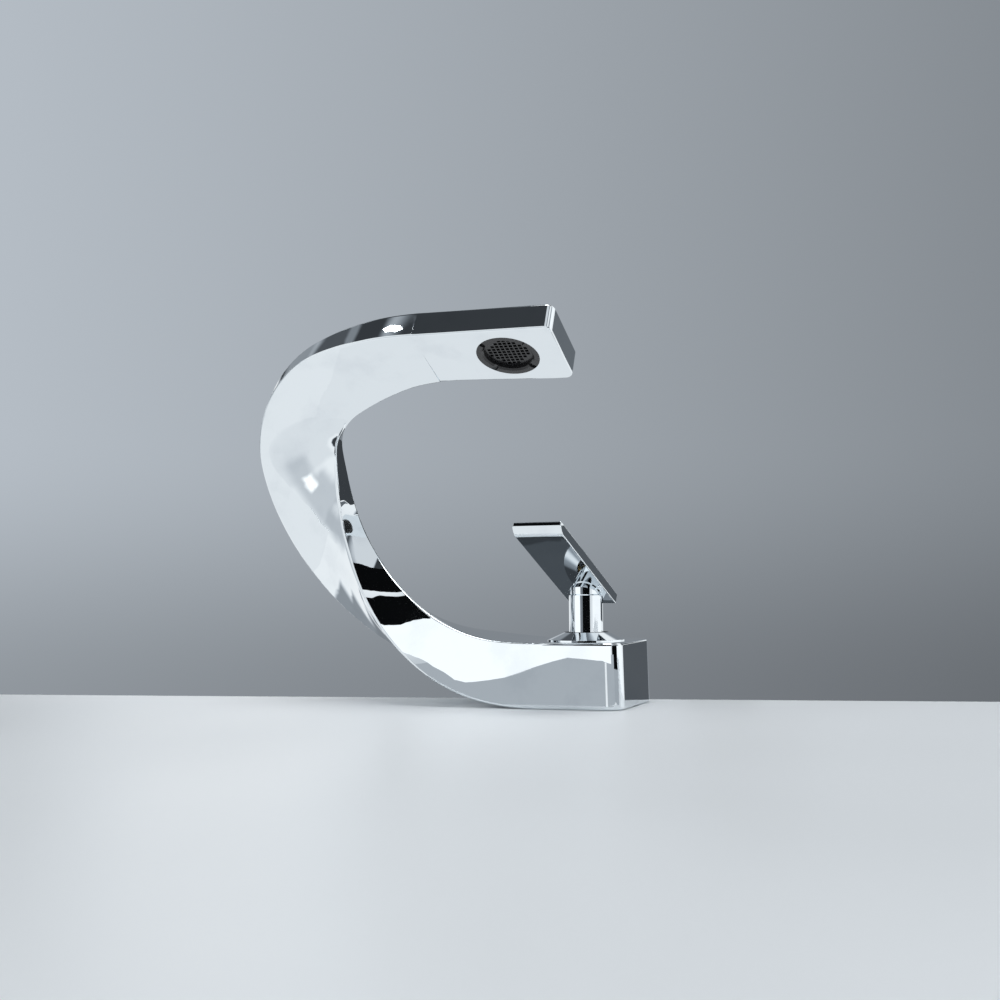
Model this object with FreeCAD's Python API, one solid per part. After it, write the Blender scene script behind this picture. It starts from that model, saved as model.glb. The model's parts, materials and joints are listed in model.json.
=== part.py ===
"""Basin mixer tap with a twisted C-shaped body and a single lever, built as an assembly.

Units are millimetres. The origin lies on the deck, under the axis of the cartridge. +Z is up,
-Y is the front, where the user stands, and the C of the body lies in the XZ plane.
"""
import FreeCAD, Part
import math
import os

from FreeCAD import Placement, Rotation, Vector

# Clearances
STATIC_GAP = 0.05        # radial gap of pieces that are screwed or pushed into each other
RUNNING_GAP = 0.05       # radial gap of a shaft that turns in its bore
MOVING_GAP = 0.3         # gap between moving pieces that only pass each other
DISC_FILM = 0.05         # grease film between the two ceramic discs
OVERRUN = 1.0            # how far a cutting tool runs past the face it cuts
LEVEL_TOLERANCE = 0.01   # height difference up to which an edge counts as level

# Centre line of the body, from the end of the base to the tip of the spout
ARM_LENGTH = 34.2        # straight run of the base
BACK_RADIUS = 110.0
BACK_TURN = 78.0         # degrees
SHOULDER_RADIUS = 29.5
SHOULDER_TURN = 75.0     # degrees
CROWN_RADIUS = 100.0
CROWN_TURN = 27.0        # degrees
SPOUT_LENGTH = 53.4      # straight run of the spout
TIP_LENGTH = 8.0         # end of the spout, past its flare

# Section of the body along that line
BASE_DEPTH = 48.0
BAND_THICKNESS = 9.5     # where the band is thinnest, at the left bulge
SPOUT_WIDTH = 33.2       # where the spout leaves the crown
SPOUT_FLARE = 2.2        # width that the spout gains at the back towards its tip
SPOUT_THICKNESS = 11.6
SPOUT_LEAN = 26.5        # degrees that the underside of the spout faces the front
BASE_LEAN = 180.0        # the same face is the bottom of the base
TWIST_START_SHARE = 0.1576
TWIST_END_SHARE = 0.852
WAIST_SHARE = 0.509      # where the band is thinnest and has come down to the spout's width
EDGE_RADIUS = 1.0
END_CORNER_RADIUS = 6.0
END_DRAFT = 0.7          # how much further the end of the base reaches at its foot
TIP_CORNER_RADIUS = 3.2
LOFT_STATIONS = 26

# Water passages in the body
WALL = 2.6
WATERWAY_CORNER_SHARE = 0.2  # corner radius, as a share of the waterway's least height
WATERWAY_STATIONS = 18
WATERWAY_LAND = 3.4      # metal between the thread of the chamber and the waterway
OUTLET_RADIUS = 2.4

# Spigot that drops into the hole of the deck, with the hose inlets and the fixing stud
SPIGOT_WALL = 3.0        # metal outside the radius of the cartridge
SPIGOT_LENGTH = 12.0
INLET_SPACING = 13.0
INLET_SETBACK = 3.5
INLET_RADIUS = 4.5       # M10 x 1, minor radius
INLET_FLOOR = 3.0        # metal between an inlet and the cartridge chamber
PORT_RADIUS = 2.2
STUD_RADIUS = 4.0        # M8
STUD_FORWARD = 10.0
STUD_LENGTH = 62.0
STUD_FLOOR = 4.0         # metal between the stud and the cartridge chamber
STUD_CHAMFER = 0.8
DECK_THICKNESS = 18.0    # basin that the fixing kit is drawn up against

# Base gasket, in a groove round the spigot
GASKET_THICKNESS = 1.5
GASKET_WIDTH = 2.0
END_WALL = 1.85          # metal between the gasket and the end of the base

# Cartridge chamber and cartridge
CHAMBER_FLOOR = 1.0
CARTRIDGE_RADIUS = 12.5
CARTRIDGE_GAP = 0.2
SEAL_STAND = 0.5         # height that the port seals stand out below the cartridge
SEAL_DEPTH = 0.9         # depth of their seats
SEAL_WALL = 1.1
PLATE_HEIGHT = 5.5       # height of the cartridge base
WINDOW_HEIGHT = 3.2
WINDOW_SILL = 1.3
OUTLET_FORWARD = 5.5
OUTLET_BORE_RADIUS = 2.4
DISC_THICKNESS = 2.2
DISC_ROOM = 2.3          # gap round the moving disc, in which it slides
MIX_CAVITY_DEPTH = 1.2
MIX_CAVITY_WALL = 2.0
CARRIAGE_THICKNESS = 2.0
RIB_WIDTH = 8.0
RIB_HEIGHT = 0.9
RIB_SIDE_GAP = 0.1
POCKET_FLOOR = 0.4
HOUSING_WALL = 2.0
HOUSING_WEB = 1.5        # web between the disc space and the shoulder of the housing
HOUSING_NECK_WALL = 1.55
HOUSING_NECK_HEIGHT = 3.8
FLANGE_GAP = 0.4         # between the rotor's flange and the housing
ROTOR_STEP = 1.1         # from the rotor's flange in to its neck
ROTOR_FLANGE_HEIGHT = 1.5
ROTOR_STAND = 1.2        # height that the rotor stands over the neck of the housing
PIVOT_BELOW_TOP = 2.8
PIN_RADIUS = 1.5
PIN_INSET = 0.4
SPINDLE_WIDTH = 6.0
SPINDLE_THICKNESS = 4.4
SPINDLE_SQUARE = 6.4
SPINDLE_SQUARE_HEIGHT = 12.0
BALL_RADIUS = 1.6
BALL_GAP = 0.1
BALL_NECK_RADIUS = 1.2
BALL_NECK_LENGTH = 3.0

# Retaining nut and dome cap
NUT_STEP = 1.5           # from the cartridge out to the nut's thread, M28
NUT_HEIGHT = 3.5
NUT_SLOTS = 4
NUT_SLOT_WIDTH = 3.0
NUT_SLOT_DEPTH = 1.4
DOME_LIP = 1.0           # overhang of the dome past its thread
DOME_EDGE = 0.4          # upright edge of the dome
DOME_RISE = 2.8
DOME_WALL = 1.1
SKIRT_WALL = 1.5
SKIRT_GAP = 0.4          # between the nut and the skirt of the dome
SKIRT_LENGTH = 4.05      # from the skirt's foot to the top of the base

# Handle
LEVER_SWING = 10.0       # degrees of tilt each way from the rest pose
REST_HEADING = -7.0      # degrees that the lever stands turned from straight ahead
STEM_RADIUS = 6.65
STEM_FOOT = 2.2          # gap between the rotor and the foot of the stem
STEM_EDGE = 0.5
NECK_STEP = 0.35         # from the stem in to the neck of the lever plate
LEVER_SINK = 0.5         # depth at which the underside of the plate crosses the stem's axis
LEVER_RISE = 27.5        # degrees
LEVER_REACH = 51.6       # plate in front of the stem's axis
LEVER_TAIL = 7.6         # plate behind it
LEVER_WIDTH = 19.6
LEVER_THICKNESS = 4.1
LEVER_EDGE = 0.4
NOSE_RUN = 4.4           # length of underside that is drawn up at the tip of the lever
NOSE_RISE = 2.3          # height that it is drawn up by
PEG_RADIUS = 3.4
PEG_LENGTH = 5.0
PEG_ROOM = 1.75          # between the spindle and the peg's hole
GRUB_RADIUS = 2.0        # M4
GRUB_HEX = 1.0           # half of the key's width over corners
GRUB_HEX_DEPTH = 1.2
PLUG_LENGTH = 0.85
PLUG_PROUD = 0.1

# Aerator
AERATOR_SETBACK = 22.4   # from the tip of the spout to the aerator's axis
AERATOR_RADIUS = 11.7    # M24 body
AERATOR_LIP = 1.05       # overhang of the flange past the thread
AERATOR_CHAMFER = 0.7    # inside the mouth
AERATOR_FLANGE = 1.2
AERATOR_HEIGHT = 6.6
AERATOR_WALL = 2.7
AERATOR_SHELF = 0.9      # width of the ledge that the grille lies on
AERATOR_LEDGE = 2.0      # depth of the grille below the mouth
AERATOR_SEAL_HEIGHT = 1.4
AERATOR_KEYS = 4
AERATOR_KEY_WIDTH = 2.0
AERATOR_KEY_DEPTH = 0.8
GRILLE_THICKNESS = 0.8
GRILLE_PITCH = 1.9
GRILLE_BAR = 0.5
GRILLE_RIM = 0.8
FORMER_SPOKES = 6
FORMER_SPOKE_WIDTH = 1.0
FORMER_RIM = 1.4
FORMER_HUB_RADIUS = 2.0

# Fixing kit below the deck
SHOE_RADIUS = 22.0
SHOE_SLOT = 27.0         # width of the slot for the hoses
SHOE_SLOT_START = 3.0    # front end of that slot, before the cartridge axis
SHOE_RUBBER = 3.0
SHOE_STEEL = 2.5
SHOE_HOLE_GAP = 0.25
FIXING_NUT_FLATS = 13.0
FIXING_NUT_HEIGHT = 6.5

# Radii worked out from the sizes above
HOUSING_BORE_RADIUS = CARTRIDGE_RADIUS - HOUSING_WALL
FIXED_DISC_RADIUS = HOUSING_BORE_RADIUS - CARTRIDGE_GAP
MOVING_DISC_RADIUS = HOUSING_BORE_RADIUS - DISC_ROOM
MIX_CAVITY_RADIUS = MOVING_DISC_RADIUS - MIX_CAVITY_WALL
ROTOR_FLANGE_RADIUS = HOUSING_BORE_RADIUS - FLANGE_GAP
ROTOR_RADIUS = ROTOR_FLANGE_RADIUS - ROTOR_STEP
ROTOR_BORE_RADIUS = ROTOR_RADIUS + RUNNING_GAP
HOUSING_NECK_RADIUS = ROTOR_BORE_RADIUS + HOUSING_NECK_WALL
CHAMBER_RADIUS = CARTRIDGE_RADIUS + CARTRIDGE_GAP
NUT_RADIUS = CARTRIDGE_RADIUS + NUT_STEP
THREAD_RADIUS = NUT_RADIUS + STATIC_GAP
DOME_RADIUS = NUT_RADIUS + DOME_LIP
NECK_RADIUS = STEM_RADIUS - NECK_STEP
SPIGOT_RADIUS = CARTRIDGE_RADIUS + SPIGOT_WALL
GASKET_RADIUS = SPIGOT_RADIUS + GASKET_WIDTH
AERATOR_BORE_RADIUS = AERATOR_RADIUS - AERATOR_WALL
AERATOR_MOUTH_RADIUS = AERATOR_BORE_RADIUS + AERATOR_SHELF
AERATOR_FLANGE_RADIUS = AERATOR_RADIUS + AERATOR_LIP

# Heights and lengths worked out from the sizes above, from the foot of the cartridge up
PLATE_Z = CHAMBER_FLOOR + SEAL_STAND
FIXED_DISC_Z = PLATE_Z + PLATE_HEIGHT
MOVING_DISC_Z = FIXED_DISC_Z + DISC_THICKNESS + DISC_FILM
CARRIAGE_Z = MOVING_DISC_Z + DISC_THICKNESS
BALL_Z = CARRIAGE_Z + POCKET_FLOOR + BALL_RADIUS
ROTOR_Z = CARRIAGE_Z + CARRIAGE_THICKNESS + MOVING_GAP
STEP_Z = ROTOR_Z + ROTOR_FLANGE_HEIGHT + MOVING_GAP
SHOULDER_Z = STEP_Z + HOUSING_WEB
HOUSING_TOP = SHOULDER_Z + HOUSING_NECK_HEIGHT
ROTOR_TOP = HOUSING_TOP + ROTOR_STAND
PIVOT_Z = ROTOR_TOP - PIVOT_BELOW_TOP
NUT_TOP = SHOULDER_Z + NUT_HEIGHT
SKIRT_Z = NUT_TOP + SKIRT_GAP
BASE_HEIGHT = SKIRT_Z + SKIRT_LENGTH
DOME_TOP = BASE_HEIGHT + DOME_EDGE + DOME_RISE
STEM_Z = ROTOR_TOP + STEM_FOOT
SPINDLE_TOP = STEM_Z + SPINDLE_SQUARE_HEIGHT
PEG_HOLE_Z = SPINDLE_TOP + PEG_ROOM
STEM_TOP = PEG_HOLE_Z + PEG_LENGTH
LEVER_SEAT = STEM_TOP - LEVER_SINK
GRUB_Z = (STEM_Z + SPINDLE_TOP) / 2
GRUB_START = SPINDLE_SQUARE / 2
GRUB_END = STEM_RADIUS - PLUG_LENGTH
OUTLET_HEIGHT = PLATE_Z + WINDOW_SILL + WINDOW_HEIGHT / 2
STUD_TOP = CHAMBER_FLOOR - STUD_FLOOR
BASE_END = GASKET_RADIUS + STATIC_GAP + END_WALL
AERATOR_DEPTH = AERATOR_HEIGHT + AERATOR_SEAL_HEIGHT

ORIGIN = Vector(0, 0, 0)
X_AXIS = Vector(1, 0, 0)
Y_AXIS = Vector(0, 1, 0)
UP = Vector(0, 0, 1)
SECTION_CORNERS = ((1, 1), (-1, 1), (-1, -1), (1, -1))
DIAGONAL_SHARE = math.sqrt(0.5)
HEX_SIDES = 6


def ease(value):
    """Smooth step from 0 to 1."""
    value = min(max(value, 0.0), 1.0)
    return value * value * (3 - 2 * value)


def cylinder(radius, low, high, x=0.0, y=0.0):
    """Upright cylinder between two heights."""
    return Part.makeCylinder(radius, high - low, Vector(x, y, low), UP)


def ring(inner, outer, low, high, x=0.0, y=0.0):
    """Upright ring between two heights."""
    bore = cylinder(inner, low - OVERRUN, high + OVERRUN, x, y)
    return cylinder(outer, low, high, x, y).cut(bore)


def block(width, front, back, low, high):
    """Block centred on X, from the front (a lower Y) to the back."""
    return Part.makeBox(width, back - front, high - low, Vector(-width / 2, front, low))


def hexagon(radius):
    """Corners of a hexagon about the origin, the first one repeated at the end."""
    angles = [2 * math.pi * index / HEX_SIDES for index in range(HEX_SIDES + 1)]
    return [(radius * math.cos(angle), radius * math.sin(angle)) for angle in angles]


def turned_profile(points):
    """Solid of revolution about Z from (radius, height) points."""
    wire = Part.makePolygon([Vector(r, 0, z) for r, z in points + points[:1]])
    return Part.Face(wire).revolve(ORIGIN, UP, 360)


def at_rest_heading(shape):
    """Turns a piece of the handle from straight ahead to its rest heading."""
    shape.rotate(ORIGIN, UP, REST_HEADING)
    return shape


# Centre line and sections of the body

def body_legs():
    """Runs of the centre line: length, and radius or None where straight."""
    legs = [(ARM_LENGTH, None)]
    arcs = ((BACK_RADIUS, BACK_TURN), (SHOULDER_RADIUS, SHOULDER_TURN), (CROWN_RADIUS, CROWN_TURN))
    for radius, turn in arcs:
        legs.append((radius * math.radians(turn), radius))
    legs.append((SPOUT_LENGTH, None))
    return legs


def body_length():
    return sum(length for length, _ in body_legs())


def centre_line(run):
    """Point and heading of the centre line after this run from the end of the base."""
    x, z, heading = BASE_END, BASE_HEIGHT / 2, math.pi
    for length, radius in body_legs():
        step = min(run, length)
        if radius is None:
            x += step * math.cos(heading)
            z += step * math.sin(heading)
        else:
            after = heading - step / radius
            x += radius * (math.sin(heading) - math.sin(after))
            z += radius * (math.cos(after) - math.cos(heading))
            heading = after
        run -= step
        if run <= 0:
            break
    return Vector(x, 0, z), heading


def spout_start():
    """Run at which the twist is over and the spout goes straight on."""
    return TWIST_END_SHARE * body_length()


def tip_start():
    return body_length() - TIP_LENGTH


def spout_flare(run):
    """Width that the spout has gained at the back by this run."""
    share = (run - spout_start()) / (tip_start() - spout_start())
    return SPOUT_FLARE * min(max(share, 0.0), 1.0)


def section_frame(run):
    """Centre, direction along the line, width direction and outward normal of the underside."""
    centre, heading = centre_line(run)
    along = Vector(math.cos(heading), 0, math.sin(heading))
    inward = Vector(math.sin(heading), 0, -math.cos(heading))
    share = run / body_length()
    turn = ease((share - TWIST_START_SHARE) / (TWIST_END_SHARE - TWIST_START_SHARE))
    lean = math.radians(BASE_LEAN + (SPOUT_LEAN - BASE_LEAN) * turn)
    normal = inward * math.cos(lean) - Y_AXIS * math.sin(lean)
    across = Y_AXIS * math.cos(lean) + inward * math.sin(lean)
    return centre + across * (spout_flare(run) / 2), along, across, normal


def section_size(run):
    """Width and thickness of the body at this run."""
    share = run / body_length()
    arm_share = ARM_LENGTH / body_length()
    fall = ease((share - arm_share) / (WAIST_SHARE - arm_share))
    swell = ease((share - WAIST_SHARE) / (TWIST_END_SHARE - WAIST_SHARE))
    width = BASE_DEPTH + (SPOUT_WIDTH - BASE_DEPTH) * fall + spout_flare(run)
    thickness = BASE_HEIGHT + (BAND_THICKNESS - BASE_HEIGHT) * fall
    thickness += (SPOUT_THICKNESS - BAND_THICKNESS) * swell
    return width, thickness


def section_point(run, inset, side, trim):
    """Point of the section near one corner, drawn in by the inset and trimmed along each side."""
    centre, _, across, normal = section_frame(run)
    width, thickness = section_size(run)
    return (centre + across * (side[0] * (width / 2 - inset - trim[0]))
            + normal * (side[1] * (thickness / 2 - inset - trim[1])))


def corner_trims(side, corner):
    """Trims of the start, apex and end of a rounded corner, going round the section one way."""
    trims = [(0, corner), (0, 0), (corner, 0)]
    return trims if side[0] * side[1] > 0 else trims[::-1]


def section_wire(run, inset, corner):
    """Rounded rectangle across the body, drawn in from its surface by the inset."""
    edges = []
    ends = []
    for side in SECTION_CORNERS:
        start, apex, end = [section_point(run, inset, side, trim) for trim in corner_trims(side, corner)]
        middle = apex + (start + end - apex * 2) * (1 - DIAGONAL_SHARE)
        edges.append(Part.Arc(start, middle, end).toShape())
        ends.append((start, end))
    for (_, leave), (entry, _) in zip(ends, ends[1:] + ends[:1]):
        edges.append(Part.LineSegment(leave, entry).toShape())
    return Part.Wire(Part.__sortEdges__(edges))


def rail(runs, inset, side, trim):
    """Spline that one point of the section follows, in line with the straight runs at its ends."""
    points = [section_point(run, inset, side, trim) for run in runs]
    _, first, _, _ = section_frame(runs[0])
    _, last, _, _ = section_frame(runs[-1])
    curve = Part.BSplineCurve()
    curve.interpolate(Points=points, Parameters=runs, InitialTangent=first, FinalTangent=last)
    return curve


def strip(rails, weights):
    """Face swept between rails: two for a flat side, three for a rounded corner."""
    poles = [line.getPoles() for line in rails]
    rows = [[weight] * len(poles[0]) for weight in weights]
    count = len(rails)
    surface = Part.BSplineSurface()
    surface.buildFromPolesMultsKnots(
        poles, [count, count], rails[0].getMultiplicities(), [0, 1], rails[0].getKnots(),
        False, False, count - 1, rails[0].Degree, rows)
    return surface.toShape()


def band(start, end, inset, corner, stations):
    """Solid along the centre line, with flat sides and rounded corners that twist as they go."""
    runs = [start + (end - start) * index / (stations - 1) for index in range(stations)]
    corners = [[rail(runs, inset, side, trim) for trim in corner_trims(side, corner)]
               for side in SECTION_CORNERS]
    faces = [Part.Face(section_wire(run, inset, corner)) for run in (start, end)]
    for rails, following in zip(corners, corners[1:] + corners[:1]):
        faces.append(strip(rails, [1, DIAGONAL_SHARE, 1]))
        faces.append(strip([rails[-1], following[0]], [1, 1]))
    shell = Part.makeShell(faces)
    shell.sewShape()
    return Part.Solid(shell)


def base_outline(end_x, height):
    """Outline of the straight part of the base at one height, with rounded corners at its end."""
    inner_x = BASE_END - ARM_LENGTH
    half = BASE_DEPTH / 2
    turn_x = end_x - END_CORNER_RADIUS
    turn_y = half - END_CORNER_RADIUS
    diagonal = END_CORNER_RADIUS * DIAGONAL_SHARE
    edges = [
        Part.LineSegment(Vector(inner_x, -half, height), Vector(turn_x, -half, height)),
        Part.Arc(Vector(turn_x, -half, height), Vector(turn_x + diagonal, -turn_y - diagonal, height),
                 Vector(end_x, -turn_y, height)),
        Part.LineSegment(Vector(end_x, -turn_y, height), Vector(end_x, turn_y, height)),
        Part.Arc(Vector(end_x, turn_y, height), Vector(turn_x + diagonal, turn_y + diagonal, height),
                 Vector(turn_x, half, height)),
        Part.LineSegment(Vector(turn_x, half, height), Vector(inner_x, half, height)),
        Part.LineSegment(Vector(inner_x, half, height), Vector(inner_x, -half, height)),
    ]
    return Part.Wire([edge.toShape() for edge in edges])


def base_block():
    """Straight part of the base, with a little draft on its end and its rims rounded."""
    outlines = [base_outline(BASE_END + END_DRAFT, 0), base_outline(BASE_END, BASE_HEIGHT)]
    solid = Part.makeLoft(outlines, True, True)
    rim = [edge for edge in solid.Edges if is_rim(edge, BASE_END - ARM_LENGTH)]
    return solid.makeFillet(EDGE_RADIUS, rim)


def is_level(edge):
    return edge.BoundBox.ZLength < LEVEL_TOLERANCE


def is_rim(edge, inner_x):
    """True for a level edge of the base block that isn't on its inner face."""
    return is_level(edge) and edge.BoundBox.XMax > inner_x + LEVEL_TOLERANCE


def spout_run():
    """Straight part of the spout, which flares evenly."""
    sections = [section_wire(run, 0, EDGE_RADIUS) for run in (spout_start(), tip_start())]
    return Part.makeLoft(sections, True, True)


def spout_tip():
    """End of the spout: straight, with its upright corners and its rims rounded."""
    start = tip_start()
    centre, along, _, normal = section_frame(start)
    corners = [section_point(start, 0, side, (0, 0)) for side in SECTION_CORNERS]
    solid = Part.Face(Part.makePolygon(corners + corners[:1])).extrude(along * TIP_LENGTH)

    def spread(edge, direction):
        """Least and greatest distance of an edge's ends from the start, in one direction."""
        reach = [(vertex.Point - centre).dot(direction) for vertex in edge.Vertexes]
        return min(reach), max(reach)

    def is_rim_of_tip(edge):
        low, high = spread(edge, normal)
        return high - low < LEVEL_TOLERANCE and spread(edge, along)[1] > LEVEL_TOLERANCE

    def is_corner_of_tip(edge):
        low, high = spread(edge, normal)
        return high - low > LEVEL_TOLERANCE and spread(edge, along)[0] > TIP_LENGTH - LEVEL_TOLERANCE

    solid = solid.makeFillet(TIP_CORNER_RADIUS, [edge for edge in solid.Edges if is_corner_of_tip(edge)])
    return solid.makeFillet(EDGE_RADIUS, [edge for edge in solid.Edges if is_rim_of_tip(edge)])


def aerator_placement():
    """Frame of the aerator: origin on the underside of the spout, +Z into the spout."""
    run = body_length() - AERATOR_SETBACK
    centre, along, across, normal = section_frame(run)
    _, thickness = section_size(run)
    return Placement(centre + normal * (thickness / 2), Rotation(along, across, normal * -1, "ZXY"))


def tap_body():
    """Cast body: base, twisted band and spout in one piece, with its water passages."""
    solid = base_block()
    solid = solid.fuse([band(ARM_LENGTH, spout_start(), 0, EDGE_RADIUS, LOFT_STATIONS),
                        spout_run(),
                        spout_tip(),
                        cylinder(SPIGOT_RADIUS, -SPIGOT_LENGTH, OVERRUN)])
    cuts = [
        cylinder(CHAMBER_RADIUS, CHAMBER_FLOOR, BASE_HEIGHT + OVERRUN),
        cylinder(THREAD_RADIUS, SHOULDER_Z - OVERRUN, BASE_HEIGHT + OVERRUN),
        ring(SPIGOT_RADIUS, GASKET_RADIUS + STATIC_GAP, -OVERRUN, GASKET_THICKNESS),
        cylinder(STUD_RADIUS + STATIC_GAP, -SPIGOT_LENGTH - OVERRUN, STUD_TOP, 0, -STUD_FORWARD),
        waterway(),
        aerator_socket(),
    ]
    for x, y in inlet_places():
        cuts.append(cylinder(INLET_RADIUS, -SPIGOT_LENGTH - OVERRUN, CHAMBER_FLOOR - INLET_FLOOR, x, y))
        cuts.append(cylinder(PORT_RADIUS, -SPIGOT_LENGTH, CHAMBER_FLOOR + OVERRUN, x, y))
    return solid.removeSplitter().cut(cuts)


def waterway():
    """Hollow of the band, with the port that feeds it from the cartridge chamber."""
    start = BASE_END + THREAD_RADIUS + WATERWAY_LAND
    end = body_length() - AERATOR_SETBACK
    corner = (BAND_THICKNESS - 2 * WALL) * WATERWAY_CORNER_SHARE
    hollow = band(start, end, WALL, corner, WATERWAY_STATIONS)
    port_start = -CARTRIDGE_RADIUS + OVERRUN
    length = THREAD_RADIUS + WATERWAY_LAND + 2 * OVERRUN + port_start
    port = Part.makeCylinder(OUTLET_RADIUS, length, Vector(port_start, 0, OUTLET_HEIGHT), X_AXIS * -1)
    return hollow.fuse(port)


def aerator_socket():
    """Threaded socket for the aerator, with a seat for its flange."""
    socket = cylinder(AERATOR_RADIUS + STATIC_GAP, -OVERRUN, AERATOR_DEPTH)
    seat = cylinder(AERATOR_FLANGE_RADIUS + STATIC_GAP, -OVERRUN, AERATOR_FLANGE)
    socket = socket.fuse(seat)
    socket.Placement = aerator_placement()
    return socket


def base_gasket():
    """Rubber ring that seals the base on the deck."""
    return ring(SPIGOT_RADIUS + STATIC_GAP, GASKET_RADIUS, 0, GASKET_THICKNESS)


# Cartridge

def inlet_places():
    return [(side * INLET_SPACING / 2, INLET_SETBACK) for side in (-1, 1)]


def port_places():
    """Centres and radii of the two inlets and the outlet of the cartridge."""
    return [(x, y, PORT_RADIUS) for x, y in inlet_places()] + [(0, -OUTLET_FORWARD, OUTLET_BORE_RADIUS)]


def cartridge_base():
    """Foot of the cartridge, with its three ports and the outlet window."""
    solid = cylinder(CARTRIDGE_RADIUS, PLATE_Z, PLATE_Z + PLATE_HEIGHT)
    for x, y in inlet_places():
        solid = solid.cut(cylinder(PORT_RADIUS, PLATE_Z - OVERRUN, FIXED_DISC_Z + OVERRUN, x, y))
        solid = solid.cut(cylinder(PORT_RADIUS + SEAL_WALL + STATIC_GAP, PLATE_Z - OVERRUN,
                                   PLATE_Z + SEAL_DEPTH, x, y))
    sill = PLATE_Z + WINDOW_SILL
    well = cylinder(OUTLET_BORE_RADIUS, sill, FIXED_DISC_Z + OVERRUN, 0, -OUTLET_FORWARD)
    front = -OUTLET_FORWARD - OUTLET_BORE_RADIUS
    window = Part.makeBox(CARTRIDGE_RADIUS + OVERRUN, INLET_SETBACK - PORT_RADIUS - OVERRUN - front,
                          WINDOW_HEIGHT, Vector(-CARTRIDGE_RADIUS - OVERRUN, front, sill))
    return solid.cut([well, window])


def port_seals():
    """Rubber rings under the two inlets, one solid each."""
    rings = [ring(PORT_RADIUS, PORT_RADIUS + SEAL_WALL, CHAMBER_FLOOR, PLATE_Z + SEAL_DEPTH, x, y)
             for x, y in inlet_places()]
    return Part.makeCompound(rings)


def fixed_disc():
    """Lower ceramic disc with three ports."""
    solid = cylinder(FIXED_DISC_RADIUS, FIXED_DISC_Z, FIXED_DISC_Z + DISC_THICKNESS)
    for x, y, radius in port_places():
        solid = solid.cut(cylinder(radius, FIXED_DISC_Z - OVERRUN, MOVING_DISC_Z + OVERRUN, x, y))
    return solid


def moving_disc():
    """Upper ceramic disc with the mixing cavity in its lower face."""
    solid = cylinder(MOVING_DISC_RADIUS, MOVING_DISC_Z, CARRIAGE_Z)
    cavity = cylinder(MIX_CAVITY_RADIUS, MOVING_DISC_Z - OVERRUN, MOVING_DISC_Z + MIX_CAVITY_DEPTH)
    return at_rest_heading(solid.cut(cavity))


def disc_carriage():
    """Carrier of the moving disc: its rib runs in the rotor and its pocket takes the spindle's ball."""
    top = CARRIAGE_Z + CARRIAGE_THICKNESS
    solid = cylinder(MOVING_DISC_RADIUS, CARRIAGE_Z, top + RIB_HEIGHT)
    for side in (-1, 1):
        shave = Part.makeBox(MOVING_DISC_RADIUS, 2 * MOVING_DISC_RADIUS, RIB_HEIGHT + OVERRUN)
        left = RIB_WIDTH / 2 if side > 0 else -RIB_WIDTH / 2 - MOVING_DISC_RADIUS
        shave.translate(Vector(left, -MOVING_DISC_RADIUS, top))
        solid = solid.cut(shave)
    pocket = cylinder(BALL_RADIUS + BALL_GAP, CARRIAGE_Z + POCKET_FLOOR - BALL_GAP,
                      top + RIB_HEIGHT + OVERRUN)
    return at_rest_heading(solid.cut(pocket))


def cartridge_housing():
    """Shell over the discs and the rotor, with the shoulder that the nut bears on."""
    return turned_profile([
        (HOUSING_BORE_RADIUS, FIXED_DISC_Z),
        (CARTRIDGE_RADIUS, FIXED_DISC_Z),
        (CARTRIDGE_RADIUS, SHOULDER_Z),
        (HOUSING_NECK_RADIUS, SHOULDER_Z),
        (HOUSING_NECK_RADIUS, HOUSING_TOP),
        (ROTOR_BORE_RADIUS, HOUSING_TOP),
        (ROTOR_BORE_RADIUS, STEP_Z),
        (HOUSING_BORE_RADIUS, STEP_Z),
    ])


def spindle_room(height):
    """Half length of the slot that lets the spindle tilt, at this height from the pivot."""
    swing = math.radians(LEVER_SWING)
    return (SPINDLE_SQUARE / 2 + abs(height) * math.sin(swing)) / math.cos(swing) + MOVING_GAP


def rotor():
    """Turret that turns with the lever; the spindle tilts in its slot."""
    solid = turned_profile([
        (0, ROTOR_Z),
        (ROTOR_FLANGE_RADIUS, ROTOR_Z),
        (ROTOR_FLANGE_RADIUS, ROTOR_Z + ROTOR_FLANGE_HEIGHT),
        (ROTOR_RADIUS, ROTOR_Z + ROTOR_FLANGE_HEIGHT),
        (ROTOR_RADIUS, ROTOR_TOP),
        (0, ROTOR_TOP),
    ])
    room = max(spindle_room(ROTOR_TOP - PIVOT_Z), spindle_room(PIVOT_Z - ROTOR_Z))
    slot = block(SPINDLE_SQUARE + 2 * RIB_SIDE_GAP, -room, room, ROTOR_Z - OVERRUN, ROTOR_TOP + OVERRUN)
    groove_top = CARRIAGE_Z + CARRIAGE_THICKNESS + RIB_HEIGHT + MOVING_GAP
    groove = block(RIB_WIDTH + 2 * RIB_SIDE_GAP, -ROTOR_FLANGE_RADIUS - OVERRUN,
                   ROTOR_FLANGE_RADIUS + OVERRUN, ROTOR_Z - OVERRUN, groove_top)
    return at_rest_heading(solid.cut([slot, groove, pin_solid(STATIC_GAP, OVERRUN)]))


def pin_solid(gap, extra):
    half = ROTOR_RADIUS - PIN_INSET + extra
    return Part.makeCylinder(PIN_RADIUS + gap, 2 * half, Vector(-half, 0, PIVOT_Z), X_AXIS)


def pivot_pin():
    return at_rest_heading(pin_solid(0, 0))


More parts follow.
